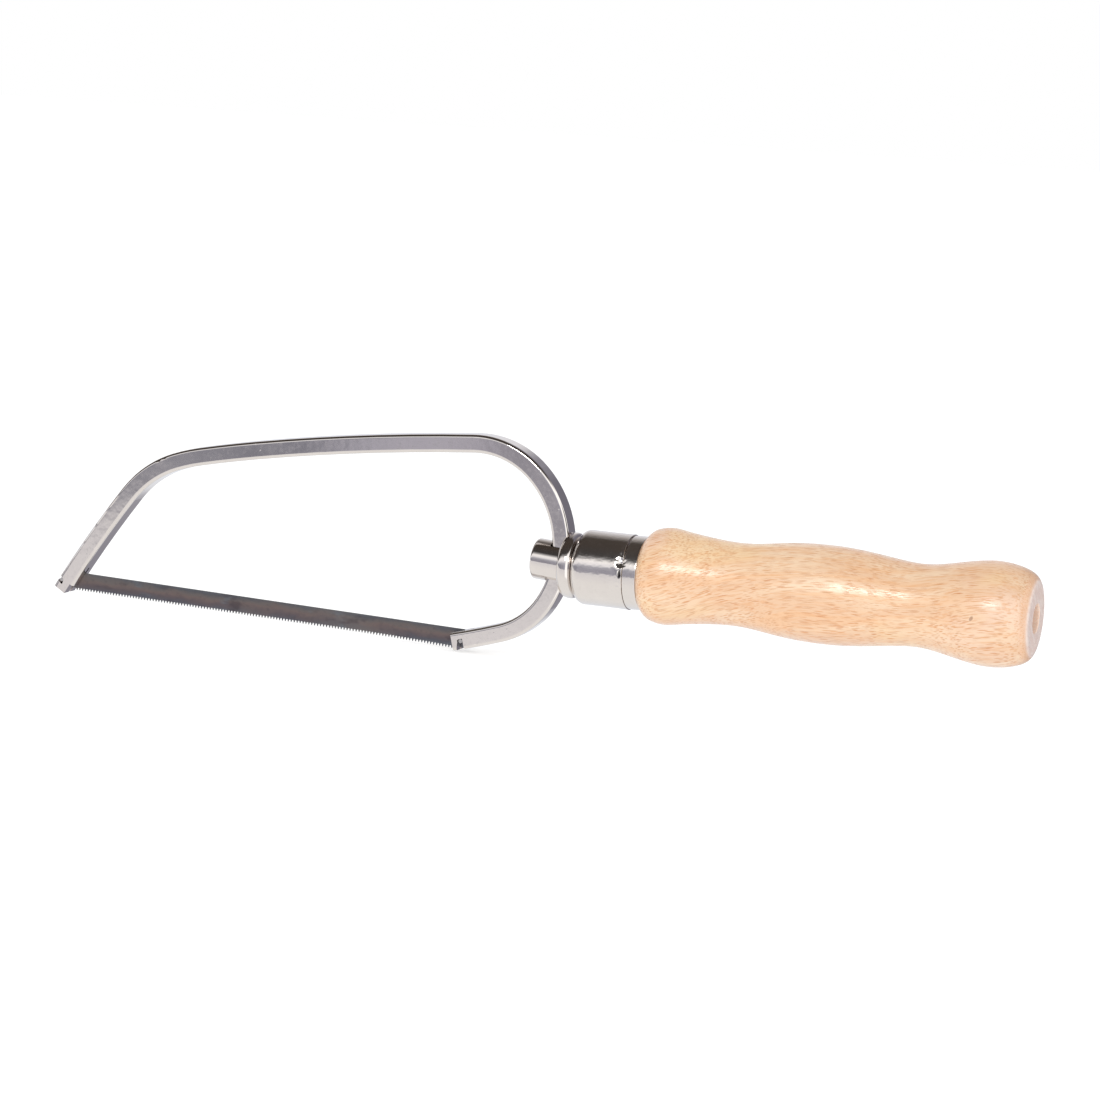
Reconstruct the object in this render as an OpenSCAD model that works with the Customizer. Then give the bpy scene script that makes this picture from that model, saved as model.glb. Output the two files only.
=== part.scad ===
// Small bow saw for metal: a sprung steel bow, a pin-ended blade, a clamp bolt
// with its collar, and a turned wooden handle with a two-piece metal ferrule.
// Millimetres. X runs along the handle's axis, away from the blade.
// Z is up in the plane of the bow, the teeth point down, Y is across the bow.
// The origin is the mouth of the hole in the handle's rear end, on its axis.

/* [Bow] */
// width of the bar in the plane of the bow
bar_w = 5.9; // [5.4:0.1:6.4]
// thickness of the bar across the bow
bar_t = 7.5; // [6.8:0.1:7.6]
// rounding of the bar's four long edges
bar_edge = 1.1; // [0.8:0.1:1.8]
// width of the slits that take the blade
slit_w = 0.9; // [0.8:0.05:1.1]
// length of the slit in the front leg
front_slit = 11.3; // [10:0.1:13]
// length of the slit in the rear leg
rear_slit = 7.5; // [6.5:0.1:8.5]

/* [Blade] */
// blade thickness
blade_t = 0.65; // [0.5:0.05:0.7]
// height from the front pin's centre to the blade's back
blade_back = 2.56; // [2.5:0.02:2.7]
// height from the front pin's centre down to the tooth tips
blade_tip = 3.54; // [3.4:0.02:3.6]
// extra height of the toothed edge at the blade's rear end
blade_dip = 0.6; // [0:0.05:0.7]
// how much lower in the blade the rear pin sits than the front pin
rear_pin_drop = 0.89; // [0.6:0.01:0.95]
// depth of the teeth
tooth_depth = 0.7; // [0.4:0.02:0.8]
// distance from one tooth to the next
tooth_pitch = 1.06; // [0.8:0.02:1.8]
// blade past each pin
blade_end = 2.1; // [2:0.1:2.3]
// radius of the blade's cross pins
pin_r = 0.65; // [0.6:0.01:0.7]
// length of the cross pins
pin_l = 6.6; // [5:0.2:7]

/* [Clamp] */
// radius of the clamp bolt's head
head_r = 6.55; // [6.3:0.05:6.7]
// lean of the head against the handle's axis, so that it sits square on the bow
head_lean = 3.8; // [0:0.1:4]
// radius over the shank's thread
shank_r = 4; // [3.6:0.1:4]
// thread pitch
thread_pitch = 1.25; // [1:0.25:1.5]
// outer radius of the collar ring
collar_r = 10.6; // [10.2:0.1:11]

/* [Handle] */
// radius of the ferrule's barrel
ferrule_r = 11.95; // [11.8:0.05:12.2]
// extra radius of the wood, smaller or larger than as drawn
swell = 0; // [-0.6:0.1:1]
// radius of the hole in the handle's rear end
end_hole_r = 4.5; // [3:0.1:5]
// depth of the hole in the handle's rear end
end_hole_l = 30; // [15:1:40]

/* [Hidden] */
$fn = 64;

// distance from the seat between collar and ferrule to the handle's rear end
handle_l = 147.6;

// the bow's centre line: arcs, each turning towards the blade
arc_r = [420, 37, 69, 490, 800, 28, 33, 26, 270];
arc_a = [5.75, 32.6, 8.0, 2.4, 5.5, 47.9, 78.3, 40.2, 3.6];
arc_n = len(arc_r);
bow_start = [-183.34, -27.84];
bow_heading = 58.75;
function heading(i) = i == 0 ? bow_heading : heading(i - 1) - arc_a[i - 1];
function out_of(h) = [-sin(h), cos(h)];
function centre(i) = station(i) - arc_r[i] * out_of(heading(i));
// each arc runs on into the next by three hundredths of a millimetre, so that they join
function lap(i) = i == arc_n - 1 ? 0 : 0.03 / arc_r[i] * 180 / PI;
function station(i) = i == 0 ? bow_start
    : centre(i - 1) + arc_r[i - 1] * out_of(heading(i));
bow_end = station(arc_n);
end_heading = heading(arc_n);

// the blade's two pins
front_pin = [-183.15, -24.2];
rear_pin = [-38.16, -27.4 - rear_pin_drop];
pin_gap = norm(rear_pin - front_pin);
blade_slope = atan2(rear_pin[1] - front_pin[1], rear_pin[0] - front_pin[0]);

// moves a shape drawn from the collar's seat to the origin at the handle's end
module placed() { translate([-handle_l, 0, 0]) children(); }
// puts a flat drawing, X across and Y up, into the plane of the bow
module in_plane(w) { rotate([90, 0, 0]) linear_extrude(height = w, center = true) children(); }
// turns a drawing of radius across and distance up about the handle's axis
module turned() { rotate([0, 90, 0]) rotate_extrude() children(); }

module bar_section() {
    square([bar_w, bar_t - 2 * bar_edge], center = true);
    square([bar_w - 2 * bar_edge, bar_t], center = true);
    for (i = [-1, 1], j = [-1, 1])
        translate([i * (bar_w / 2 - bar_edge), j * (bar_t / 2 - bar_edge)]) circle(bar_edge);
}

module bar_arc(i) {
    c = centre(i);
    translate([c[0], 0, c[1]]) rotate([90, 0, 0])
        rotate([0, 0, heading(i + 1) + 90 - lap(i)])
            rotate_extrude(angle = arc_a[i] + lap(i), $fn = 360) translate([arc_r[i], 0]) bar_section();
}

// the front notch: cut aslant from the outer face of the leg, with room below the pin
module front_notch() {
    translate([front_pin[0], front_pin[1]]) rotate(bow_heading + 78)
        polygon([[-0.75, -0.35], [-0.4, -0.73], [6, -0.73], [6, 1.02], [-1.0, 1.02], [-1.2, 0.85], [-1.2, 0.65]]);
}

// the rear notch: open at the bottom, its front wall clear of the pin's way out
module rear_notch() {
    r = 0.92;
    along = [cos(end_heading), sin(end_heading)];
    down = [-sin(end_heading), cos(end_heading)];
    way = [-sin(3), -cos(3)];
    translate([rear_pin[0], rear_pin[1]])
        polygon([0.4 * along - 0.75 * down, r * along - 0.4 * down, r * along, r * along + 6 * way,
            -r * along + 6 * down, -r * along - 0.75 * down]);
}

module bow() color([0.72, 0.72, 0.73]) placed() difference() {
    union() for (i = [0:arc_n - 1]) bar_arc(i);
    // slits for the blade, sawn in from both ends
    translate([bow_start[0], 0, bow_start[1]]) rotate([0, -bow_heading, 0])
        translate([-5, -slit_w / 2, -6]) cube([5 + front_slit, slit_w, 12]);
    translate([bow_end[0], 0, bow_end[1]]) rotate([0, -end_heading, 0])
        translate([-rear_slit, -slit_w / 2, -6]) cube([rear_slit + 5, slit_w, 12]);
    in_plane(20) front_notch();
    in_plane(20) rear_notch();
    // step ground off the inner corner of the front tip
    translate([bow_start[0], 0, bow_start[1]]) rotate([0, -bow_heading, 0])
        translate([-5, -10, -bar_w / 2 - 5 + 1.25]) cube([8.8, 20, 5]);
}

// blade outline in its own frame: X along the pins, Y towards the back
teeth_from = 4;
teeth_n = floor((pin_gap - 1.5 - teeth_from) / tooth_pitch);
// the outline leans by the rear pin's drop, and its toothed edge dips near the rear end;
// the nose is cut to stay inside the front leg
function lean(x) = rear_pin_drop * x / pin_gap;
function dip(x) = let (t = max(0, min(1, (x - pin_gap + 40) / 35))) blade_dip * t * t;
function gullet(x) = -blade_tip + tooth_depth + lean(x) - dip(x);
function top(x) = blade_back + lean(x);
blade_outline = concat(
    [[-1.35, 0], [-2, -1.2], [-blade_end, gullet(0) + 0.5], [-blade_end + 0.3, gullet(0)],
     [teeth_from - 0.01, gullet(teeth_from)]],
    [for (i = [0:teeth_n - 1]) let (x = teeth_from + i * tooth_pitch)
        each [[x + 0.22 * tooth_pitch, gullet(x) - tooth_depth], [x + 0.34 * tooth_pitch, gullet(x) - tooth_depth],
              [x + 0.72 * tooth_pitch, gullet(x)], [x + tooth_pitch - 0.01, gullet(x)]]],
    [[pin_gap + blade_end - 0.8, gullet(pin_gap)], [pin_gap + blade_end, gullet(pin_gap) + 0.8],
     [pin_gap + blade_end, top(pin_gap) - 1.8], [pin_gap + blade_end - 1.8, top(pin_gap)],
     [0.35, top(0.35)], [-0.6, 1.3], [-1, 0.75]]);

module blade_strip() color([0.2, 0.2, 0.22]) placed()
    translate([front_pin[0], 0, front_pin[1]]) rotate([0, -blade_slope, 0]) in_plane(blade_t)
        difference() {
            polygon(blade_outline);
            circle(pin_r + 0.02);
            translate([pin_gap, 0]) circle(pin_r + 0.02);
        }

module cross_pin(p) placed() translate([p[0], 0, p[1]]) rotate([90, 0, 0])
    cylinder(r = pin_r, h = pin_l, center = true);
module front_blade_pin() color([0.3, 0.3, 0.32]) cross_pin(front_pin);
module rear_blade_pin() color([0.3, 0.3, 0.32]) cross_pin(rear_pin);

// clamp bolt: leaning head with a window for the bow, then a threaded shank
head_front = -15.15;
head_back = -0.6;
head_edge = 1.0;
window_back = -2.53;
shank_end = 24;
thread_n = floor((shank_end - 2.5) / thread_pitch);
module clamp_bolt() color([0.78, 0.78, 0.79]) placed() {
    c = centre(6);
    difference() {
        union() {
            rotate([0, head_lean, 0]) turned() {
                polygon([
                    [0, head_front], [head_r - head_edge, head_front],
                    [head_r - head_edge, head_front + head_edge], [head_r, head_front + head_edge],
                    [head_r, head_back - 0.4], [head_r - 0.4, head_back], [0, head_back]]);
                intersection() {
                    translate([head_r - head_edge, head_front + head_edge]) circle(head_edge);
                    translate([head_r - head_edge - 0.1, head_front]) square([head_edge + 0.1, head_edge + 0.1]);
                }
            }
            turned() polygon(concat(
                [[0, head_back - 1], [shank_r - 0.2, head_back - 1], [shank_r - 0.2, 2]],
                [for (i = [0:thread_n - 1]) let (x = 2 + i * thread_pitch)
                    each [[shank_r - 0.7, x + 0.1 * thread_pitch], [shank_r, x + 0.5 * thread_pitch],
                          [shank_r, x + 0.6 * thread_pitch]]],
                [[shank_r - 0.7, shank_end], [0, shank_end]]));
        }
        // the window, its front wall curved like the inside of the bow
        difference() {
            translate([-12.5, -bar_t / 2 - 0.15, -10]) cube([12.5 + window_back, bar_t + 0.3, 20]);
            translate([c[0], 0, c[1]]) rotate([90, 0, 0])
                cylinder(r = arc_r[6] - bar_w / 2 - 0.3, h = 20, center = true, $fn = 360);
        }
    }
}

// collar ring: a thick bead with a groove across its face that sits on the bow
collar_front = -5.0;
bead = 2.3;
bead_back = 1.9;
module collar_ring() color([0.8, 0.8, 0.81]) placed() difference() {
    turned() difference() {
        union() {
            translate([6, collar_front]) square([collar_r - bead - 6, -collar_front]);
            translate([collar_r - bead, collar_front + bead]) circle(bead);
            translate([collar_r - bead - 1, collar_front + bead])
                square([bead + 1, -collar_front - bead - bead_back]);
            translate([collar_r - bead - 1, collar_front + bead]) square([bead - bead_back + 1, -collar_front - bead]);
            translate([collar_r - bead_back, -bead_back]) circle(bead_back);
        }
        translate([0, collar_front - 1]) square([7.1, 20]);
    }
    translate([collar_front - 5, -bar_t / 2 - 0.3, -20]) cube([5 + 2.32, bar_t + 0.6, 40]);
}

// ferrule cap: domed front, thin barrel, open at the back
cap_back = 18.0;
cap_dome = 3.1;
wall = 0.9;
cap_front = 0.15;
module ferrule_cap() color([0.8, 0.8, 0.81]) placed() difference() {
    turned() difference() {
        union() {
            translate([0, cap_front]) square([ferrule_r - cap_dome, cap_back - cap_front]);
            translate([ferrule_r - cap_dome, cap_front + cap_dome]) circle(cap_dome);
            translate([0, cap_front + cap_dome]) square([ferrule_r, cap_back - cap_front - cap_dome]);
        }
        polygon([[-1, cap_front + 1.3], [ferrule_r - wall - 1.2, cap_front + 1.3],
            [ferrule_r - wall, cap_front + 2.4], [ferrule_r - wall, cap_back + 1], [-1, cap_back + 1]]);
        translate([-1, -1]) square([shank_r + 1.3, 4]);
    }
    // centre-punch marks that stake the cap to the sleeve
    rotate([23.5, 0, 0]) translate([17.2, -ferrule_r - 0.9, 0]) sphere(1.6);
    rotate([4, 0, 0]) translate([16.7, -ferrule_r - 0.75, 0]) sphere(1.1);
}

// ferrule sleeve: the inner tube on the wood, with a raised rear part that shows
sleeve_back = 22.5;
sleeve_r = ferrule_r - wall - 0.05;
module ferrule_sleeve() color([0.8, 0.8, 0.81]) placed() turned() polygon([
    [sleeve_r - 0.8, 3.2], [sleeve_r, 3.2], [sleeve_r, cap_back + 0.1],
    [sleeve_r + 0.55, cap_back + 0.1], [sleeve_r + 0.75, cap_back + 0.3],
    [sleeve_r + 0.75, sleeve_back - 0.2], [sleeve_r + 0.55, sleeve_back],
    [sleeve_r - 0.8, sleeve_back]]);

// clamp nut: held in the head of the handle, behind the cap's front wall
module clamp_nut() color([0.7, 0.66, 0.5]) placed() rotate([0, 90, 0]) translate([0, 0, cap_front + 1.45])
    difference() {
        cylinder(r = 7.5, h = 6.5, $fn = 6);
        translate([0, 0, -1]) cylinder(r = shank_r + 0.05, h = 10);
    }

// the wood's outline: radius against distance, smoothed between these stations
wood_x = [22.6, 24.0, 26.5, 30.0, 35.0, 40.0, 46.0, 52.0, 58.0, 64.0, 70.0, 76.0, 82.0,
    88.0, 94.0, 100.0, 106.0, 111.0, 117.0, 123.0, 129.0, 134.5, 139.0, 142.0, 144.0, 145.5, 146.5, 147.2, 147.5,
    147.6];
wood_r = [11.9, 13.6, 14.9, 15.4, 14.75, 14.05, 13.4, 13.1, 13.4, 14.2, 14.95, 15.35, 15.45,
    15.25, 14.7, 13.95, 13.2, 12.9, 13.45, 14.65, 15.8, 16.3, 15.95, 15.3, 14.6, 13.8, 12.9, 11.9, 11.1, 10.4];
wood_n = len(wood_x);
// slope at a station, and the smooth radius between stations
function slope(i) = i == 0 ? 1.4 : i == wood_n - 1 ? -10
    : (wood_r[i + 1] - wood_r[i - 1]) / (wood_x[i + 1] - wood_x[i - 1]);
function blend(i, t) = let (d = wood_x[i + 1] - wood_x[i])
    (2 * t * t * t - 3 * t * t + 1) * wood_r[i] + (t * t * t - 2 * t * t + t) * d * slope(i)
    + (3 * t * t - 2 * t * t * t) * wood_r[i + 1] + (t * t * t - t * t) * d * slope(i + 1);
wood_steps = 3;
wood_outline = [for (i = [0:wood_n - 2]) for (k = [0:wood_steps - 1])
    let (t = k / wood_steps) [blend(i, t) + swell, wood_x[i] + t * (wood_x[i + 1] - wood_x[i])]];
module wooden_handle() color([0.86, 0.66, 0.45]) placed() difference() {
    turned() polygon(concat(
        [[0, 8.6], [sleeve_r - 0.9, 8.6], [sleeve_r - 0.9, 22.6]],
        wood_outline,
        [[10.4 + swell, handle_l], [0, handle_l]]));
    // bore for the end of the bolt's shank
    translate([0, 0, 0]) rotate([0, 90, 0]) cylinder(r = shank_r + 0.5, h = 40);
    // hole in the rear end
    translate([handle_l - end_hole_l, 0, 0]) rotate([0, 90, 0]) cylinder(r = end_hole_r, h = end_hole_l + 1);
}

bow();
blade_strip();
front_blade_pin();
rear_blade_pin();
clamp_bolt();
collar_ring();
ferrule_cap();
ferrule_sleeve();
clamp_nut();
wooden_handle();
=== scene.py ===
import math

import bmesh
import bpy
import numpy as np
from mathutils import Matrix, Vector, noise


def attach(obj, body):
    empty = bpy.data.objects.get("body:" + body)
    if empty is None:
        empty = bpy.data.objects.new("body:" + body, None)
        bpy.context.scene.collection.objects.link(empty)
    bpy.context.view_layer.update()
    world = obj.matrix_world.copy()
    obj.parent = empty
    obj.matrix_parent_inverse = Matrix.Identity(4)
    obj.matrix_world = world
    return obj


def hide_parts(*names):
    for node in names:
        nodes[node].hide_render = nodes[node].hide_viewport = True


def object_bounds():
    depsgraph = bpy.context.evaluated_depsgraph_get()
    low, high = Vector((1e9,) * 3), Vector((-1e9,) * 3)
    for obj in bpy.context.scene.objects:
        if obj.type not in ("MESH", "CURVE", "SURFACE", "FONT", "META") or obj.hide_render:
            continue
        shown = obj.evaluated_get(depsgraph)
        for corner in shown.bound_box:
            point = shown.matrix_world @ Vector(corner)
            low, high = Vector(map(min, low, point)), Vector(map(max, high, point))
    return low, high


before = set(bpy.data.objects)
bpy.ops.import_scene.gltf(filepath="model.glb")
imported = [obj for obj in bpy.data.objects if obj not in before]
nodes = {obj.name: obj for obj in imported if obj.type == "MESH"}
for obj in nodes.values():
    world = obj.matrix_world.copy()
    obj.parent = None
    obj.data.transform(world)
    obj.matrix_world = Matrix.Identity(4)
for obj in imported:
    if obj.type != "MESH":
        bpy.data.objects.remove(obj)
box_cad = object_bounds()

MM = 0.001
SEAT = -0.1476  # X of the seat between collar and ferrule, where the drawings below start


# ---------------------------------------------------------------- mesh making

def mesh_object(name, verts, faces, sharp=35.0):
    """A mesh piece from points in metres, smooth but for edges sharper than that many degrees."""
    me = bpy.data.meshes.new(name)
    me.from_pydata([tuple(v) for v in verts], [], faces)
    me.validate()
    bm = bmesh.new()
    bm.from_mesh(me)
    bmesh.ops.remove_doubles(bm, verts=bm.verts, dist=1e-7)
    bmesh.ops.recalc_face_normals(bm, faces=bm.faces)
    bm.to_mesh(me)
    bm.free()
    me.polygons.foreach_set("use_smooth", [True] * len(me.polygons))
    me.set_sharp_from_angle(angle=math.radians(sharp))
    ob = bpy.data.objects.new(name, me)
    bpy.context.scene.collection.objects.link(ob)
    return ob


def turned(name, profile, segs, shape=None, sharp=35.0):
    """A solid of revolution about the handle's axis. profile is a line of (x, r) in mm from the seat, which
    starts and ends on the axis, or is a closed loop. shape(x, angle, r) may move a point: it returns (x, r)."""
    closed = profile[0] == profile[-1]
    pts = profile[:-1] if closed else profile
    verts, rings = [], []
    for x, r in pts:
        if r < 1e-6:
            rings.append([len(verts)] * segs)
            verts.append((SEAT + x * MM, 0, 0))
            continue
        rings.append(list(range(len(verts), len(verts) + segs)))
        for k in range(segs):
            a = 2 * math.pi * k / segs
            xx, rr = shape(x, a, r) if shape else (x, r)
            verts.append((SEAT + xx * MM, -rr * MM * math.cos(a), rr * MM * math.sin(a)))
    faces = []
    n = len(rings)
    for i in range(n if closed else n - 1):
        a, b = rings[i], rings[(i + 1) % n]
        for k in range(segs):
            q = [a[k], a[(k + 1) % segs], b[(k + 1) % segs], b[k]]
            q = [v for j, v in enumerate(q) if v != q[j - 1]]
            if len(q) > 2:
                faces.append(q)
    return mesh_object(name, verts, faces, sharp)


def arc(cx, cr, rad, a0, a1, n):
    """Points of an arc in the (x, r) drawing; angles in degrees from +x towards +r."""
    return [(cx + rad * math.cos(math.radians(a0 + (a1 - a0) * i / n)),
             cr + rad * math.sin(math.radians(a0 + (a1 - a0) * i / n))) for i in range(n + 1)]


def span(x0, x1, step):
    n = max(1, int(round(abs(x1 - x0) / step)))
    return [x0 + (x1 - x0) * i / n for i in range(n + 1)]


def bump1(d, w):
    """A smooth bell of half width w."""
    t = min(abs(d) / w, 1.0)
    return (1 - t * t) ** 2


# ---------------------------------------------------------------- wooden handle

wood_x = [22.6, 24.0, 26.5, 30.0, 35.0, 40.0, 46.0, 52.0, 58.0, 64.0, 70.0, 76.0, 82.0,
          88.0, 94.0, 100.0, 106.0, 111.0, 117.0, 123.0, 129.0, 134.5, 139.0, 142.0, 144.0, 145.5, 146.5, 147.2, 147.5,
          147.6]
wood_r = [11.9, 13.6, 14.9, 15.4, 14.75, 14.05, 13.4, 13.1, 13.4, 14.2, 14.95, 15.35, 15.45,
          15.25, 14.7, 13.95, 13.2, 12.9, 13.45, 14.65, 15.8, 16.3, 15.95, 15.3, 14.6, 13.8, 12.9, 11.9, 11.1, 10.4]


def cubic(xs, ys, s0, s1):
    """Slopes of the smooth cubic line through the stations, with given end slopes."""
    n = len(xs)
    a, b = np.zeros((n, n)), np.zeros(n)
    a[0, 0] = a[-1, -1] = 1
    b[0], b[-1] = s0, s1
    for i in range(1, n - 1):
        h0, h1 = xs[i] - xs[i - 1], xs[i + 1] - xs[i]
        a[i, i - 1], a[i, i], a[i, i + 1] = 1 / h0, 2 / h0 + 2 / h1, 1 / h1
        b[i] = 3 * ((ys[i] - ys[i - 1]) / h0 ** 2 + (ys[i + 1] - ys[i]) / h1 ** 2)
    return np.linalg.solve(a, b)


wood_slope = list(cubic(wood_x[:-5], wood_r[:-5], 1.5, -0.43)) + [-0.68, -1.12, -1.8, -3.75, -10.0]


def wood_radius(x):
    x = min(max(x, wood_x[0]), wood_x[-1])
    i = min(max(int(np.searchsorted(wood_x, x)) - 1, 0), len(wood_x) - 2)
    d = wood_x[i + 1] - wood_x[i]
    t = (x - wood_x[i]) / d
    return ((2 * t ** 3 - 3 * t * t + 1) * wood_r[i] + (t ** 3 - 2 * t * t + t) * d * wood_slope[i]
            + (3 * t * t - 2 * t ** 3) * wood_r[i + 1] + (t ** 3 - t * t) * d * wood_slope[i + 1])


def wood_shape(x, a, r):
    # faint flats and waves left by sanding
    if r < 11 or x > 146:
        return x, r
    if x < 23.5:
        # a ragged lip of lacquer next to the sleeve
        rag = noise.noise(Vector((x * 1.5, 16 * math.cos(a), 16 * math.sin(a))))
        return (x + (0.13 * rag if x > 22.7 else 0.0), r + 0.05 * rag - 0.02)
    p = Vector((x * 0.045, 1.3 * math.cos(a), 1.3 * math.sin(a)))
    fade = min(1.0, (x - 23.5) / 3, (146 - x) / 3)
    return x, min(r + 0.055 * fade * noise.noise(p) - 0.02, 16.29)


outline = [(x, min(wood_radius(x), 16.29)) for x in
           span(22.6, 30, 0.28) + span(30, 138, 0.72)[1:] + span(138, 146.5, 0.26)[1:]
           + span(146.5, 147.5, 0.11)[1:] + span(147.5, 147.6, 0.05)[1:]]
wood_profile = ([(40.0, 0.0), (40.0, 4.3), (39.8, 4.5), (8.6, 4.5), (8.6, 9.8), (8.9, 10.1), (22.6, 10.1), (22.6, 11.7)]
                + outline[1:]
                + [(147.6, r) for r in span(9.9, 5.1, 0.8)]
                + arc(147.2, 4.9, 0.4, 0, -90, 5)
                + [(x, 4.5) for x in span(146.2, 118.0, 2.0)] + [(117.6, 4.1), (117.6, 0.0)])
handle = turned("handle_wood", wood_profile, 224, wood_shape, sharp=32)

# ---------------------------------------------------------------- ferrule

# the cap: domed front, thin barrel, marks punched in at its rear rim to hold it on the sleeve
cap_r, wall = 11.95, 0.9
dents = [  # x, angle above the horizontal in degrees, half width, half height, depth, rim, how ragged
    (17.35, 20.0, 1.9, 2.9, 0.52, 0.07, 0.35),
    (17.1, 33.0, 0.8, 1.3, 0.16, 0.02, 0.2),
    (17.2, 3.5, 0.65, 1.75, 0.45, 0.03, 0.1),
    (16.6, -14.0, 0.7, 0.9, 0.10, 0.02, 0.1),
    (17.35, 140.0, 1.9, 2.9, 0.52, 0.07, 0.35),
    (17.35, 260.0, 1.9, 2.9, 0.52, 0.07, 0.35),
]


def dented(x, a, share=1.0):
    """How far the punch marks move the metal at this place, in mm."""
    deg = math.degrees(a)
    out = 0.0
    for dx, da, w, h, depth, rim, rag in dents:
        across = ((deg - da + 180) % 360 - 180) * math.pi / 180 * cap_r
        if abs(across) > 2.5 * h or abs(x - dx) > 2.5 * w:
            continue
        p = Vector((x * 1.1, across * 1.1, da))
        u = (x - dx) / w + rag * 0.45 * noise.noise(p)
        # the punch came in aslant: a long slope above, a short one below
        v = across / (h if across > 0 else 0.6 * h) + rag * 0.45 * noise.noise(p + Vector((9, 4, 2)))
        d = math.hypot(u, v)
        if d < 2.4:
            fold = 1.0 + rag * 0.5 * noise.noise(Vector((x * 2.3, across * 2.3, da + 7)))
            out -= share * depth * fold * bump1(d, 1.0)
            out += share * rim * bump1(d - 1.25, 0.75)
    return out


def gap_at(a):
    """How far the cap's rear rim stands off the sleeve's shoulder: open at the top, closed below."""
    t = max(0.0, min(1.0, (math.sin(a) - 0.30) / 0.6))
    return 0.42 * t * t * (3 - 2 * t)


def cap_shape(x, a, r):
    # the rim was cut a little out of square
    shift = -gap_at(a) * max(0.0, (x - 12.0) / 6.0) if x > 12 else 0.0
    if r < cap_r - 0.5:
        return x + shift, r
    out = dented(x, a)
    # the drawn barrel isn't perfectly true: a shallow waist, and small dents all over
    if x > 3:
        out -= 0.035 * math.sin(math.pi * (x - 3) / 14.0)
        out += 0.018 * noise.noise(Vector((x * 0.5, 3.4 * math.cos(a), 3.4 * math.sin(a))))
        out += 0.012 * noise.noise(Vector((x * 1.9, 19 * math.cos(a), 19 * math.sin(a))))
    return x + shift, min(r + out, cap_r + 0.12)


cap_front, cap_dome, cap_back = 0.15, 3.1, 18.0
cap_profile = (
    [(cap_front + 1.3, 4.3), (cap_front + 0.2, 4.3), (cap_front, 4.5)]
    + [(cap_front, r) for r in span(4.7, cap_r - cap_dome, 0.8)[:-1]]
    + [(x, r) for x, r in arc(cap_front + cap_dome, cap_r - cap_dome, cap_dome, 180, 90, 24)]
    + [(x, cap_r) for x in span(cap_front + cap_dome, 13.4, 0.42)[1:]]
    + [(x, cap_r) for x in span(13.4, cap_back - 0.12, 0.15)[1:]]
    + arc(cap_back - 0.12, cap_r - 0.12, 0.12, 90, 0, 4)[1:]
    + [(cap_back, cap_r - 0.5), (cap_back, cap_r - wall + 0.05), (cap_back - 0.05, cap_r - wall)]
    + [(cap_front + 2.6, cap_r - wall), (cap_front + 1.9, cap_r - wall - 0.45), (cap_front + 1.3, cap_r - wall - 1.4),
       (cap_front + 1.3, 4.3)])
cap = turned("ferrule_cap_shell", cap_profile, 520, cap_shape, sharp=40)

# the sleeve: a narrow rounded shoulder next to the cap, then a short band up to the wood
sleeve_r = cap_r - wall - 0.05
sleeve_top = sleeve_r + 0.75


def sleeve_shape(x, a, r):
    if r < sleeve_r + 0.3:
        return x, r
    out = 0.02 * noise.noise(Vector((x * 0.4, 2.2 * math.cos(a) + 5, 2.2 * math.sin(a)))) - 0.01
    out += 0.007 * noise.noise(Vector((x * 1.9, 19 * math.cos(a), 19 * math.sin(a))))
    return x, max(r + out + dented(x, a, 0.6), sleeve_r + 0.12)


sleeve_profile = (
    [(3.2, sleeve_r - 0.8), (3.2, sleeve_r - 0.1), (3.3, sleeve_r), (18.06, sleeve_r)]
    + [(18.06, sleeve_r + 0.1)]
    + arc(18.28, sleeve_top - 0.22, 0.22, 180, 90, 6)
    + [(x, sleeve_top) for x in span(18.28, 22.3, 0.2)[1:]]
    + arc(22.3, sleeve_top - 0.2, 0.2, 90, 0, 4)[1:]
    + [(22.5, sleeve_r - 0.8), (3.2, sleeve_r - 0.8)])
sleeve = turned("ferrule_sleeve_shell", sleeve_profile, 400, sleeve_shape, sharp=40)

# ---------------------------------------------------------------- blade

front_pin = Vector((-0.33075, 0, -0.0242))
rear_pin = Vector((-0.18576, 0, -0.02829))
gap = (rear_pin - front_pin).length / MM
slope = math.atan2(rear_pin.z - front_pin.z, rear_pin.x - front_pin.x)
back, tip, depth, pitch, end, half = 2.56, -3.54, 0.84, 1.06, 2.1, 0.325
drop, dip, first = 0.89, 0.6, 4.0
nose = [(-2.1, -2.34), (-2.0, -1.2), (-1.35, 0.0), (-1.0, 0.75), (-0.6, 1.3), (0.35, 2.56)]


def low_at(x):
    """Height of the gullets over the pins' line: it leans, and dips near the rear end."""
    t = max(0.0, min(1.0, (x - gap + 40) / 35))
    return tip + depth + drop * x / gap - dip * t * t


def teeth_line():
    """Columns of the blade from front to rear: (x, lowest height)."""
    cols = [(-2.08, -2.36), (-2.0, -2.48), (-1.8, low_at(0))]
    cols += [(x, low_at(x)) for x in (-1.35, -1.0, -0.6, -0.2, 0.35, 0.8, 1.4, 2.2, 3.0, 3.6)]
    n = int((gap - 1.5 - first) / pitch)
    for i in range(n):
        x = first + i * pitch
        # no two teeth are quite alike
        worn = 0.05 * noise.noise(Vector((i * 1.7, 3, 1)))
        g, t = low_at(x), low_at(x) - depth + 0.03 + worn
        cols += [(x, g), (x + 0.18 * pitch, t), (x + 0.25 * pitch, t), (x + 0.36 * pitch, t + 0.5 * (g - t)),
                 (x + 0.50 * pitch, g - 0.03), (x + 0.78 * pitch, g)]
    x = first + n * pitch
    cols += [(x, low_at(x)), (x + 1, low_at(x)), (x + 2, low_at(x)), (x + 3, low_at(x)), (gap + end - 0.8, low_at(gap)),
             (gap + end - 0.4, low_at(gap) + 0.4), (gap + end, low_at(gap) + 0.8)]
    return cols


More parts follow.
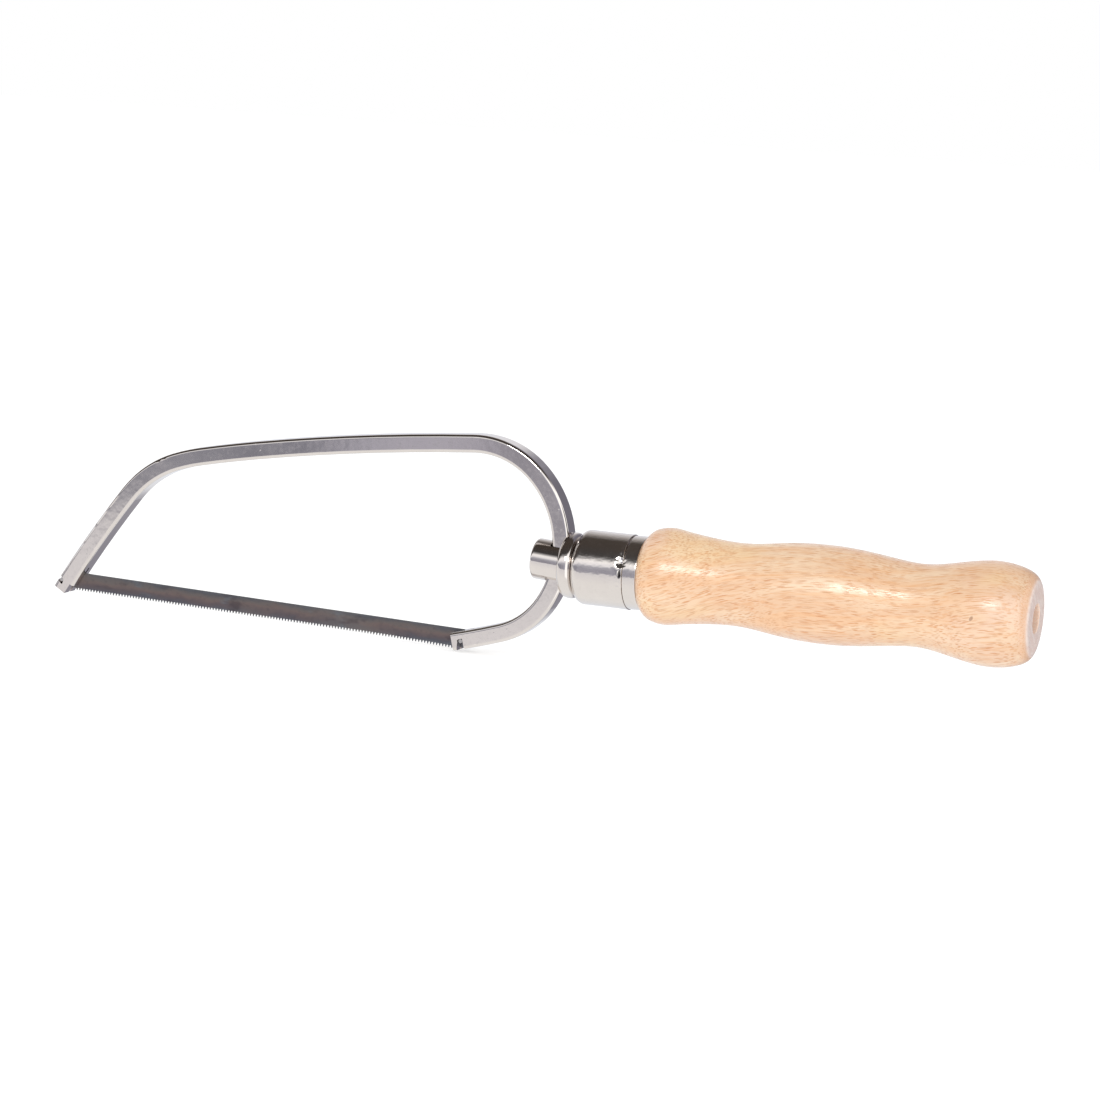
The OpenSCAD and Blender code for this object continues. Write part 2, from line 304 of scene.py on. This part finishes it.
def back_line(x):
    """Height of the back: the nose stays inside the bow's leg, and the rear corner is ground off."""
    if x < nose[-1][0]:
        return float(np.interp(x, [p[0] for p in nose], [p[1] for p in nose]))
    d = gap + end - x
    cut = 1.8 - d if d < 1.6 else max(0.0, 1.95 - d) ** 2 / 0.6
    return back + drop * x / gap - cut


def make_blade():
    cols = teeth_line()
    verts, grid = [], []
    for x, low in cols:
        high = back_line(x)
        base = min(max(low + 0.1, low_at(x) + 0.3), low + 0.4 * (high - low))
        lip = min(0.12, 0.3 * (high - low))
        column = []
        heights = [low, low + 0.35 * (base - low), base]
        heights += [base + (high - lip - base) * s for s in (0.12, 0.28, 0.44, 0.6, 0.76, 0.9, 1.0)]
        heights += [high - lip / 2, high]
        for side in (-1, 1):
            for j, h in enumerate(heights):
                # the wavy set: the tooth line swings from side to side over ten teeth
                bend = max(0.0, min(1.0, (low_at(x) + 0.45 - h) / 1.1))
                fade = min(1.0, max(0.0, (x - 4) / 5), max(0.0, (gap - 3 - x) / 5))
                wave = 0.12 * math.sin(2 * math.pi * x / (10 * pitch)) * bend * bend * fade
                thick = half - (0.09 if j == len(heights) - 1 else 0.0) - 0.15 * bend
                warp = 0.03 * math.sin(x * 0.045 + 0.6)
                column.append((x, side * thick + wave + warp, h))
        grid.append(len(verts))
        verts += column
    n = len(heights)
    faces = []
    for c in range(len(grid) - 1):
        a, b = grid[c], grid[c + 1]
        for j in range(n - 1):
            faces.append([a + j, b + j, b + j + 1, a + j + 1])
            faces.append([a + n + j, a + n + j + 1, b + n + j + 1, b + n + j])
        faces.append([a, a + n, b + n, b])
        faces.append([a + n - 1, b + n - 1, b + 2 * n - 1, a + 2 * n - 1])
    for a in (grid[0], grid[-1]):
        for j in range(n - 1):
            faces.append([a + j, a + j + 1, a + n + j + 1, a + n + j])
    c, s = math.cos(slope), math.sin(slope)
    moved = [(front_pin.x + (x * c - h * s) * MM, y * MM, front_pin.z + (x * s + h * c) * MM) for x, y, h in verts]
    return mesh_object("blade_toothed", moved, faces, sharp=30)


blade = make_blade()


def bore(ob, centre, r, length):
    """Cuts a round hole across the blade, for a pin."""
    bm = bmesh.new()
    bmesh.ops.create_cone(bm, cap_ends=True, segments=48, radius1=r, radius2=r, depth=length)
    me = bpy.data.meshes.new("cutter")
    bm.to_mesh(me)
    bm.free()
    cut = bpy.data.objects.new("cutter", me)
    bpy.context.scene.collection.objects.link(cut)
    cut.matrix_world = Matrix.Translation(centre) @ Matrix.Rotation(math.pi / 2, 4, "X")
    bpy.context.view_layer.update()
    mod = ob.modifiers.new("hole", "BOOLEAN")
    mod.operation, mod.solver, mod.object = "DIFFERENCE", "EXACT", cut
    bpy.context.view_layer.update()
    out = bpy.data.meshes.new_from_object(ob.evaluated_get(bpy.context.evaluated_depsgraph_get()))
    ob.modifiers.clear()
    ob.data = out
    bpy.data.objects.remove(cut)


for pin in (front_pin, rear_pin):
    bore(blade, pin, 0.67 * MM, 4 * MM)


# ---------------------------------------------------------------- materials

class Nodes:
    """A short way to write a node tree."""

    def __init__(self, tree):
        self.t = tree
        tree.nodes.clear()

    def add(self, kind, **values):
        n = self.t.nodes.new(kind)
        for k, v in values.items():
            setattr(n, k, v)
        return n

    def link(self, a, b):
        self.t.links.new(a, b)

    def put(self, socket, value):
        if isinstance(value, bpy.types.NodeSocket):
            self.link(value, socket)
        else:
            socket.default_value = value

    def math(self, op, a, b=0.0, c=None, clamp=False):
        n = self.add("ShaderNodeMath", operation=op, use_clamp=clamp)
        self.put(n.inputs[0], a)
        self.put(n.inputs[1], b)
        if c is not None:
            self.put(n.inputs[2], c)
        return n.outputs[0]

    def mix(self, fac, a, b, blend="MIX"):
        n = self.add("ShaderNodeMix", data_type="RGBA", blend_type=blend)
        self.put(n.inputs[0], fac)
        self.put(n.inputs[6], a)
        self.put(n.inputs[7], b)
        return n.outputs[2]

    def step(self, v, lo, hi, to_lo=0.0, to_hi=1.0, smooth=True):
        n = self.add("ShaderNodeMapRange", interpolation_type="SMOOTHSTEP" if smooth else "LINEAR")
        self.put(n.inputs["Value"], v)
        n.inputs["From Min"].default_value, n.inputs["From Max"].default_value = lo, hi
        n.inputs["To Min"].default_value, n.inputs["To Max"].default_value = to_lo, to_hi
        return n.outputs["Result"]

    def ramp(self, v, stops, mode="EASE"):
        n = self.add("ShaderNodeValToRGB")
        n.color_ramp.interpolation = mode
        e = n.color_ramp.elements
        while len(e) > 2:
            e.remove(e[-1])
        for i, (p, col) in enumerate(stops):
            el = e[i] if i < 2 else e.new(p)
            el.position = p
            el.color = (*col, 1.0)
        self.put(n.inputs[0], v)
        return n.outputs[0]

    def place(self, coord, scale=(1, 1, 1), turn=(0, 0, 0), shift=(0, 0, 0)):
        n = self.add("ShaderNodeMapping")
        self.link(coord, n.inputs["Vector"])
        n.inputs["Scale"].default_value = scale
        n.inputs["Rotation"].default_value = turn
        n.inputs["Location"].default_value = shift
        return n.outputs[0]

    def noise(self, v, scale, detail=2.0, rough=0.5, distort=0.0):
        n = self.add("ShaderNodeTexNoise")
        self.link(v, n.inputs["Vector"])
        n.inputs["Scale"].default_value = scale
        n.inputs["Detail"].default_value = detail
        n.inputs["Roughness"].default_value = rough
        n.inputs["Distortion"].default_value = distort
        return n.outputs["Fac"]

    def bump(self, height, strength, distance, normal=None):
        n = self.add("ShaderNodeBump")
        self.put(n.inputs["Height"], height)
        n.inputs["Strength"].default_value = strength
        n.inputs["Distance"].default_value = distance
        if normal is not None:
            self.link(normal, n.inputs["Normal"])
        return n.outputs[0]


def material(name):
    m = bpy.data.materials.new(name)
    m.use_nodes = True
    k = Nodes(m.node_tree)
    out = k.add("ShaderNodeOutputMaterial")
    p = k.add("ShaderNodeBsdfPrincipled")
    k.link(p.outputs[0], out.inputs[0])
    tc = k.add("ShaderNodeTexCoord")
    return m, k, p, tc


def plating(name, base, dull, pits, lines, speckle, tint=0.04, wave=0.000022, mark=None):
    """Nickel plate: base colour, roughness (low, high), and the strength of pits, turning lines and small dents.
    wave is the height of the soft waves. mark is (x, z, half width, half height) in metres of a spot of painted shade
    in a punch mark."""
    m, k, p, tc = material(name)
    pos = tc.outputs["Object"]
    cloud = k.noise(pos, 90.0, 3.0, 0.55)
    fine = k.noise(pos, 900.0, 2.0, 0.6)
    col = k.mix(k.step(cloud, 0.35, 0.7), tuple(c * (1 - tint) for c in base) + (1,), base + (1,))
    col = k.mix(k.step(fine, 0.55, 0.75, 0.0, 0.25), col, tuple(c * 0.86 for c in base) + (1,))
    if mark:
        # painted shade in the small punch mark, dark like the inside of a hole: a drop, narrow at its top
        sep = k.add("ShaderNodeSeparateXYZ")
        k.link(pos, sep.inputs[0])
        v = k.math("DIVIDE", k.math("SUBTRACT", sep.outputs["Z"], mark[1]), mark[3])
        u = k.math("DIVIDE", k.math("SUBTRACT", sep.outputs["X"], mark[0]), mark[2])
        u = k.math("MULTIPLY", u, k.math("ADD", 1.15, k.math("MULTIPLY", v, 0.4)))
        d = k.math("ADD", k.math("MULTIPLY", u, u), k.math("MULTIPLY", v, v))
        d = k.math("ADD", d, k.math("MULTIPLY", k.math("SUBTRACT", fine, 0.5), 0.8))
        punch_shade = k.math("MULTIPLY", k.step(d, 0.7, 1.25, 1.0, 0.0), k.step(sep.outputs["Y"], -0.006, -0.004, 1.0, 0.0))
        col = k.mix(k.math("MULTIPLY", punch_shade, 0.93), col, (0.03, 0.028, 0.03, 1))
    k.link(col, p.inputs["Base Color"])
    p.inputs["Metallic"].default_value = 1.0
    rough = k.math("ADD", k.step(cloud, 0.3, 0.7, dull[0], dull[1], False), k.step(fine, 0.5, 0.8, 0.0, 0.05, False))
    k.link(rough, p.inputs["Roughness"])
    # soft waves of the bright dip, then small dents, turning lines and pits
    nrm = k.bump(k.noise(pos, 260.0, 2.0, 0.5), 1.0, wave)
    if speckle:
        v = k.add("ShaderNodeTexVoronoi", feature="SMOOTH_F1")
        k.link(pos, v.inputs["Vector"])
        v.inputs["Scale"].default_value = 1250.0
        v.inputs["Smoothness"].default_value = 0.6
        nrm = k.bump(v.outputs["Distance"], 1.0, speckle, nrm)
    if lines:
        wide = k.place(pos, (2600.0, 26.0, 26.0))
        nrm = k.bump(k.noise(wide, 1.0, 3.0, 0.7), 1.0, lines, nrm)
    if pits:
        v = k.add("ShaderNodeTexVoronoi")
        k.link(pos, v.inputs["Vector"])
        v.inputs["Scale"].default_value = 420.0
        hole = k.math("MULTIPLY", k.step(v.outputs["Distance"], 0.0, 0.16, 1.0, 0.0),
                      k.step(k.noise(pos, 120.0), 0.62, 0.68))
        nrm = k.bump(k.math("MULTIPLY", hole, -1.0), 1.0, pits, nrm)
    k.link(nrm, p.inputs["Normal"])
    return m


nickel = (0.752, 0.706, 0.672)
satin = plating("satin_nickel", nickel, (0.05, 0.085), 0.000015, 0.0, 0.0, wave=0.000011)
bright = plating("bright_nickel", nickel, (0.10, 0.15), 0.0, 0.000008, 0.000014, wave=0.00003)
# the cap's plating, with a spot of painted shade in its small punch mark
shaded_nickel = plating("painted_shade_nickel", nickel, (0.10, 0.15), 0.0, 0.000008, 0.000014, wave=0.00003,
                 mark=(-0.13035, 0.0007, 0.0006, 0.0014))
smooth = plating("smooth_nickel", nickel, (0.05, 0.085), 0.0, 0.0000012, 0.0)


def blade_steel():
    m, k, p, tc = material("heat_dark_steel")
    lie = slope + math.atan(drop / gap)  # the blade's back leans a little against the pins' line
    pos = k.place(tc.outputs["Object"], (1, 1, 1), (0, lie, 0), (0, 0, 0))
    sep = k.add("ShaderNodeSeparateXYZ")
    k.link(pos, sep.inputs[0])
    # height over the front pin in mm, square to the blade's back
    zero = (Matrix.Rotation(lie, 3, "Y") @ front_pin).z
    h = k.math("MULTIPLY", k.math("SUBTRACT", sep.outputs["Z"], zero), 1000.0)
    long = k.place(pos, (1.0, 0.2, 2.2))
    blotch = k.noise(long, 70.0, 4.0, 0.62, 0.4)
    small = k.noise(tc.outputs["Object"], 700.0, 3.0, 0.6)
    wavy = k.math("ADD", h, k.step(blotch, 0.22, 0.78, -1.7, 1.7, False))
    col = k.ramp(k.step(wavy, -3.4, 3.2, 0.0, 1.0, False), [
        (0.0, (0.13, 0.135, 0.155)), (0.12, (0.112, 0.112, 0.132)), (0.34, (0.145, 0.116, 0.122)),
        (0.52, (0.19, 0.144, 0.134)), (0.68, (0.168, 0.145, 0.138)), (0.86, (0.118, 0.118, 0.128)),
        (1.0, (0.125, 0.132, 0.148))], "LINEAR")
    # the heat left lighter blue spots and darker smudges
    col = k.mix(k.step(k.noise(long, 24.0, 2.0), 0.44, 0.62, 0.0, 0.6), col, (0.185, 0.172, 0.166, 1), "MIX")
    col = k.mix(k.step(k.noise(k.place(long, (1, 1, 1), (0, 0, 0), (5, 2, 3)), 120.0, 2.0), 0.56, 0.72, 0.0, 0.6), col,
                (0.17, 0.19, 0.215, 1), "MIX")
    col = k.mix(k.step(k.noise(k.place(long, (1, 1, 1), (0, 0, 0), (1, 7, 4)), 95.0, 3.0, 0.6), 0.54, 0.7, 0.0, 0.65), col,
                (0.075, 0.062, 0.07, 1), "MIX")
    col = k.mix(k.step(small, 0.5, 0.75, 0.0, 0.35), col, (0.09, 0.085, 0.09, 1), "MIX")
    col = k.mix(k.step(h, 2.3, 2.75, 0.0, 0.6), col, (0.235, 0.25, 0.27, 1))
    k.link(col, p.inputs["Base Color"])
    p.inputs["Metallic"].default_value = 0.85
    k.link(k.step(blotch, 0.25, 0.75, 0.34, 0.5, False), p.inputs["Roughness"])
    scratch = k.noise(k.place(pos, (60.0, 900.0, 1800.0)), 1.0, 3.0, 0.7)
    nrm = k.bump(scratch, 1.0, 0.000004)
    nrm = k.bump(small, 1.0, 0.000005, nrm)
    k.link(nrm, p.inputs["Normal"])
    return m


def pin_steel():
    m, k, p, tc = material("drawn_pin_steel")
    n = k.noise(tc.outputs["Object"], 1500.0, 3.0)
    k.link(k.mix(n, (0.38, 0.37, 0.36, 1), (0.68, 0.66, 0.64, 1)), p.inputs["Base Color"])
    p.inputs["Metallic"].default_value = 1.0
    k.link(k.step(n, 0.3, 0.7, 0.28, 0.45, False), p.inputs["Roughness"])
    k.link(k.bump(n, 1.0, 0.000006), p.inputs["Normal"])
    return m


def nut_steel():
    m, k, p, tc = material("zinc_nut_steel")
    n = k.noise(tc.outputs["Object"], 600.0, 3.0)
    k.link(k.mix(n, (0.5, 0.46, 0.36, 1), (0.68, 0.64, 0.52, 1)), p.inputs["Base Color"])
    p.inputs["Metallic"].default_value = 1.0
    k.link(k.step(n, 0.3, 0.7, 0.25, 0.4, False), p.inputs["Roughness"])
    k.link(k.bump(n, 1.0, 0.00001), p.inputs["Normal"])
    return m


def beech():
    m, k, p, tc = material("lacquered_beech")
    pos = tc.outputs["Object"]
    # the grain runs a little across the handle's axis, and wanders
    warp = k.add("ShaderNodeTexNoise")
    k.link(pos, warp.inputs["Vector"])
    warp.inputs["Scale"].default_value = 28.0
    warp.inputs["Detail"].default_value = 1.0
    off = k.add("ShaderNodeVectorMath", operation="MULTIPLY_ADD")
    k.link(warp.outputs["Color"], off.inputs[0])
    off.inputs[1].default_value = (0.0, 0.004, 0.004)
    k.link(pos, off.inputs[2])
    # it climbs more steeply near the ferrule
    along = k.add("ShaderNodeSeparateXYZ")
    k.link(pos, along.inputs[0])
    climb = k.add("ShaderNodeCombineXYZ")
    k.link(k.step(along.outputs["X"], -0.130, -0.088, 0.0, 0.008), climb.inputs["Z"])
    level = k.add("ShaderNodeVectorMath", operation="SUBTRACT")
    k.link(off.outputs[0], level.inputs[0])
    k.link(climb.outputs[0], level.inputs[1])
    grain = k.place(level.outputs[0], (1, 1, 1), (math.radians(24), math.radians(5.0), math.radians(3.0)))

    # wide soft bands of colour
    bands = k.noise(k.place(grain, (0.16, 1.0, 0.8)), 130.0, 3.0, 0.5, 0.6)
    rings = k.noise(k.place(grain, (0.05, 0.25, 1.0)), 330.0, 3.0, 0.55, 0.2)
    col = k.mix(k.step(bands, 0.36, 0.64), (0.76, 0.50, 0.315, 1), (0.815, 0.60, 0.41, 1))
    col = k.mix(k.step(rings, 0.46, 0.66, 0.0, 0.6), col, (0.80, 0.475, 0.255, 1))
    pink = k.noise(k.place(grain, (0.5, 1.0, 1.0), (0, 0, 0), (3, 1, 2)), 42.0, 2.0)
    col = k.mix(k.step(pink, 0.52, 0.68, 0.0, 0.5), col, (0.80, 0.565, 0.45, 1))
    honey = k.noise(k.place(grain, (0.5, 1.0, 1.0), (0, 0, 0), (9, 4, 1)), 48.0, 2.0)
    col = k.mix(k.step(honey, 0.52, 0.66, 0.0, 0.55), col, (0.84, 0.61, 0.345, 1))

    # fine lines along the grain
    lines = k.noise(k.place(grain, (0.05, 1.0, 1.0)), 1500.0, 2.0, 0.6)
    col = k.mix(k.step(lines, 0.48, 0.68, 0.0, 0.6), col, (0.71, 0.37, 0.175, 1))

    # the rays: short dark dashes along the grain, thin from top to bottom
    def rays(scale, size, keep, seed):
        v = k.add("ShaderNodeTexVoronoi")
        k.link(k.place(grain, scale, (0, 0, 0), seed), v.inputs["Vector"])
        v.inputs["Scale"].default_value = 1.0
        v.inputs["Randomness"].default_value = 1.0
        sep = k.add("ShaderNodeSeparateColor")
        k.link(v.outputs["Color"], sep.inputs[0])
        on = k.step(sep.outputs[0], keep, keep + 0.3)
        body = k.step(v.outputs["Distance"], size * 0.5, size, 1.0, 0.0)
        return k.math("MULTIPLY", on, body), sep.outputs[1]

    near, tone = rays((190.0, 1300.0, 2900.0), 0.42, 0.22, (0, 0, 0))
    far, tone2 = rays((150.0, 1700.0, 3800.0), 0.42, 0.32, (7, 3, 5))
    patch = k.step(k.noise(k.place(grain, (0.4, 1, 1)), 95.0, 2.0), 0.36, 0.6, 0.35, 1.0)
    dash = k.math("MULTIPLY", near, patch)
    col = k.mix(k.math("MULTIPLY", dash, 0.95), col, k.mix(tone, (0.56, 0.205, 0.065, 1), (0.69, 0.32, 0.13, 1)))
    col = k.mix(k.math("MULTIPLY", far, 0.75), col, k.mix(tone2, (0.54, 0.235, 0.09, 1), (0.67, 0.35, 0.165, 1)))

    # end grain, on the faces that look along the handle
    nsep = k.add("ShaderNodeSeparateXYZ")
    k.link(tc.outputs["Normal"], nsep.inputs[0])
    psep = k.add("ShaderNodeSeparateXYZ")
    k.link(pos, psep.inputs[0])
    endward = k.step(k.math("ABSOLUTE", nsep.outputs["X"]), 0.80, 0.97)
    ends = k.math("MULTIPLY", endward, k.step(psep.outputs["X"], -0.012, -0.006))
    year = k.noise(k.place(grain, (0.02, 0.3, 1.0)), 620.0, 2.0, 0.6)
    dots = k.noise(pos, 2600.0, 2.0, 0.6)
    end_col = k.mix(k.step(year, 0.4, 0.62), (0.90, 0.70, 0.61, 1), (0.97, 0.82, 0.74, 1))
    end_col = k.mix(k.step(dots, 0.5, 0.72, 0.0, 0.5), end_col, (0.80, 0.58, 0.48, 1))
    # the rim between side and end took more stain
    brim = k.math("MULTIPLY", k.step(k.math("ABSOLUTE", nsep.outputs["X"]), 0.5, 0.68), k.step(psep.outputs["X"], -0.012, -0.006))
    col = k.mix(k.math("MULTIPLY", brim, k.step(dots, 0.4, 0.6, 0.25, 0.7)), col, (0.80, 0.48, 0.30, 1))
    col = k.mix(ends, col, end_col)
    # one small brown speck in the rear bulge
    v = k.math("DIVIDE", k.math("SUBTRACT", psep.outputs["Z"], 0.0003), 0.0008)
    u = k.math("SUBTRACT", k.math("DIVIDE", k.math("ADD", psep.outputs["X"], 0.0164), 0.00055), k.math("MULTIPLY", v, 0.5))
    spot = k.step(k.math("ADD", k.math("MULTIPLY", u, u), k.math("MULTIPLY", v, v)), 0.4, 1.4, 1.0, 0.0)
    spot = k.math("MULTIPLY", spot, k.step(psep.outputs["Y"], -0.012, -0.010, 0.75, 0.0))
    col = k.mix(spot, col, (0.36, 0.19, 0.11, 1))
    # painted light: the wall of the hole is painted lighter than the wood, so it looks lit in spite of the shade inside
    # the hole
    away = k.math("SQRT", k.math("ADD", k.math("MULTIPLY", psep.outputs["Y"], psep.outputs["Y"]),
                                 k.math("MULTIPLY", psep.outputs["Z"], psep.outputs["Z"])))
    painted_hole_light = k.math("MULTIPLY", k.step(away, 0.0046, 0.0048, 1.0, 0.0), k.step(psep.outputs["X"], -0.034, -0.032))
    col = k.mix(painted_hole_light, col, k.mix(k.step(dots, 0.45, 0.65), (0.95, 0.70, 0.55, 1), (0.98, 0.84, 0.74, 1)))

    k.link(col, p.inputs["Base Color"])
    k.link(k.math("ADD", k.step(bands, 0.3, 0.7, 0.38, 0.46, False), k.math("MULTIPLY", dash, 0.15)), p.inputs["Roughness"])
    p.inputs["IOR"].default_value = 1.5
    p.inputs["Coat Weight"].default_value = 0.85
    p.inputs["Coat Roughness"].default_value = 0.19
    p.inputs["Coat IOR"].default_value = 1.5
    pore = k.bump(k.math("MULTIPLY", k.math("MAXIMUM", near, far), -1.0), 1.0, 0.00003)
    pore = k.bump(lines, 1.0, 0.000012, pore)
    k.link(pore, p.inputs["Normal"])
    # the lacquer follows the grain and the marks of the lathe
    skin = k.bump(k.noise(k.place(grain, (0.35, 1, 1)), 420.0, 3.0, 0.6), 1.0, 0.00009)
    skin = k.bump(k.noise(k.place(grain, (0.12, 1, 1)), 1700.0, 2.0, 0.6), 1.0, 0.00003, skin)
    skin = k.bump(k.math("MULTIPLY", k.math("MAXIMUM", near, far), -1.0), 1.0, 0.00002, skin)
    skin = k.bump(k.noise(k.place(pos, (1400.0, 70.0, 70.0)), 1.0, 2.0, 0.6), 1.0, 0.00003, skin)
    k.link(skin, p.inputs["Coat Normal"])
    return m


steel, pin_mat, nut_mat, wood_mat = blade_steel(), pin_steel(), nut_steel(), beech()


def wear(ob, m):
    if ob.material_slots:
        for s in ob.material_slots:
            s.material = m
    else:
        ob.data.materials.append(m)


wear(nodes["bow"], satin)
wear(nodes["clamp_bolt"], smooth)
wear(nodes["collar_ring"], smooth)
wear(nodes["front_blade_pin"], pin_mat)
wear(nodes["rear_blade_pin"], pin_mat)
wear(nodes["clamp_nut"], nut_mat)
for ob, m, body, node, slot in (
        (handle, wood_mat, "handle", "wooden_handle", "handle_wood"),
        (cap, shaded_nickel, "handle", "ferrule_cap", "clamp_plating"),
        (sleeve, bright, "handle", "ferrule_sleeve", "clamp_plating"),
        (blade, steel, "blade", "blade_strip", "blade_steel")):
    wear(ob, m)
    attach(ob, body)
    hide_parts(node)

# ---------------------------------------------------------------- floor, light, camera

scene = bpy.context.scene
scene.view_settings.view_transform = "Standard"
scene.view_settings.look = "None"

floor_z = box_cad[0].z - 0.0003
bm = bmesh.new()
bmesh.ops.create_grid(bm, x_segments=4, y_segments=4, size=6.0)
fm = bpy.data.meshes.new("studio_floor")
bm.to_mesh(fm)
bm.free()
floor = bpy.data.objects.new("studio_floor", fm)
floor.location.z = floor_z
scene.collection.objects.link(floor)
mf, k, p, tc = material("pale_floor")
p.inputs["Base Color"].default_value = (0.62, 0.62, 0.62, 1)
p.inputs["Roughness"].default_value = 0.9
p.inputs["Specular IOR Level"].default_value = 0.0
p.inputs["Emission Color"].default_value = (1, 1, 1, 1)
p.inputs["Emission Strength"].default_value = 0.52
fm.materials.append(mf)
floor.visible_glossy = False  # the metal mirrors the studio's own light and dark instead

world = bpy.data.worlds.new("studio")
scene.world = world
world.use_nodes = True
k = Nodes(world.node_tree)
out = k.add("ShaderNodeOutputWorld")
tc = k.add("ShaderNodeTexCoord")
sep = k.add("ShaderNodeSeparateXYZ")
k.link(tc.outputs["Generated"], sep.inputs[0])
dx, dy, dz = sep.outputs
# angle round the saw's long axis: 0 in front, 90 overhead, 180 behind, -90 below
turn = k.math("MULTIPLY", k.math("ARCTAN2", dz, k.math("MULTIPLY", dy, -1.0)), 180 / math.pi)


def at(deg):
    return (deg + 180) / 360


studio = k.ramp(k.step(turn, -180, 180, 0, 1, False), [
    (at(-180), (0.80, 0.82, 0.90)),
    (at(-168), (0.86, 0.89, 0.95)),
    (at(-140), (0.90, 0.93, 0.98)),
    (at(-100), (1.02, 1.02, 1.01)),
    (at(-40), (1.02, 1.01, 1.00)),
    (at(-16), (0.92, 0.91, 0.93)),
    (at(-9.6), (0.89, 0.88, 0.91)),
    (at(3), (0.80, 0.80, 0.82)),
    (at(10), (0.46, 0.47, 0.54)),
    (at(19), (1.05, 1.05, 1.09)),
    (at(29), (1.18, 1.17, 1.17)),
    (at(37), (0.40, 0.40, 0.41)),
    (at(45), (0.055, 0.052, 0.052)),
    (at(80), (0.062, 0.050, 0.043)),
    (at(110), (0.067, 0.055, 0.047)),
    (at(118), (0.20, 0.185, 0.18)),
    (at(128), (0.40, 0.375, 0.365)),
    (at(140), (0.62, 0.61, 0.62)),
    (at(158), (0.90, 0.90, 0.94)),
    (at(180), (0.80, 0.82, 0.90)),
], "LINEAR")
# between floor and lamp stands the dim room in front; its tone changes from left to right
room = k.ramp(k.step(dx, -0.5, 0.0, 0, 1, False), [
    (0.06, (0.325, 0.33, 0.385)), (0.135, (0.305, 0.31, 0.365)), (0.17, (0.225, 0.23, 0.28)), (0.186, (0.22, 0.225, 0.275)),
    (0.205, (0.49, 0.49, 0.57)), (0.24, (0.54, 0.53, 0.62)), (0.27, (0.53, 0.52, 0.61)), (0.29, (0.345, 0.34, 0.395)),
    (0.325, (0.36, 0.355, 0.41)), (0.37, (0.43, 0.435, 0.505)), (1.0, (0.42, 0.43, 0.52))], "LINEAR")
studio = k.mix(k.math("MULTIPLY", k.step(turn, -9.4, -8.75), k.step(turn, 4.0, 11.0, 1.0, 0.0)), studio, room)
# a light wall at the right, which the edges of the bow's bend pick up
studio = k.mix(k.math("MULTIPLY", k.step(dx, 0.15, 0.4), k.math("MULTIPLY", k.step(dz, -0.62, -0.5), k.step(dz, 0.55, 0.75, 1.0, 0.0))),
               studio, (1.45, 1.45, 1.45, 1))
# in it, a dark doorway in front, far to the right
door = k.math("MULTIPLY", k.math("MULTIPLY", k.step(dx, 0.80, 0.88), k.step(dz, 0.35, 0.5, 1.0, 0.0)),
              k.math("MULTIPLY", k.step(dz, -0.2, -0.1), k.step(dy, -0.1, 0.1, 1.0, 0.0)))
studio = k.mix(door, studio, (0.05, 0.062, 0.062, 1))
# the wall behind, to the right of the backdrop
side = k.math("MULTIPLY", k.step(dx, -0.20, 0.05), k.math("MULTIPLY", k.step(dy, 0.2, 0.5), k.step(dz, -0.75, -0.5)))
studio = k.mix(side, studio, k.mix(k.step(dx, 0.08, 0.24), (0.32, 0.315, 0.37, 1), (0.205, 0.20, 0.245, 1)))
glossy = k.add("ShaderNodeBackground")
k.link(studio, glossy.inputs[0])
soft = k.add("ShaderNodeBackground")
k.link(k.mix(k.step(dz, 0.0, 0.7), (0.86, 0.855, 0.85, 1), (1.02, 1.015, 1.01, 1)), soft.inputs[0])
soft.inputs[1].default_value = 1.0
plain = k.add("ShaderNodeBackground")
plain.inputs[0].default_value = (1, 1, 1, 1)
plain.inputs[1].default_value = 1.0
path = k.add("ShaderNodeLightPath")
m1 = k.add("ShaderNodeMixShader")
k.link(path.outputs["Is Glossy Ray"], m1.inputs[0])
k.link(soft.outputs[0], m1.inputs[1])
k.link(glossy.outputs[0], m1.inputs[2])
m2 = k.add("ShaderNodeMixShader")
k.link(path.outputs["Is Camera Ray"], m2.inputs[0])
k.link(m1.outputs[0], m2.inputs[1])
k.link(plain.outputs[0], m2.inputs[2])
k.link(m2.outputs[0], out.inputs[0])


def softbox(name, towards, dist, size, power, colour=(1, 1, 1), spread=180):
    li = bpy.data.lights.new(name, "AREA")
    li.shape, li.size, li.size_y = "RECTANGLE", size[0], size[1]
    li.energy, li.color = power, colour
    li.spread = math.radians(spread)
    ob = bpy.data.objects.new(name, li)
    d = Vector(towards).normalized()
    aim = Vector((-0.12, 0, 0))
    ob.location = aim + d * dist
    ob.rotation_mode = "QUATERNION"
    ob.rotation_quaternion = (-d).to_track_quat("-Z", "Y")
    scene.collection.objects.link(ob)
    return ob


key = softbox("key_softbox", (-0.02, -0.88, 0.475), 1.6, (0.48, 0.34), 6.0)

cam_data = bpy.data.cameras.new("camera")
cam_data.sensor_width = 36.0
cam_data.lens = 36.0 * 3453.69 / 1100
cam = bpy.data.objects.new("camera", cam_data)
right, down, ahead = Vector((0.93397, 0.35231, 0.05986)), Vector((0.10675, -0.11521, -0.98759)), Vector((-0.34104, 0.92876, -0.14521))
cam.matrix_world = Matrix((
    (right.x, -down.x, -ahead.x, 0.21727),
    (right.y, -down.y, -ahead.y, -1.02241),
    (right.z, -down.z, -ahead.z, 0.16389),
    (0, 0, 0, 1)))
cam_data.clip_start, cam_data.clip_end = 0.05, 50
scene.collection.objects.link(cam)
scene.camera = cam
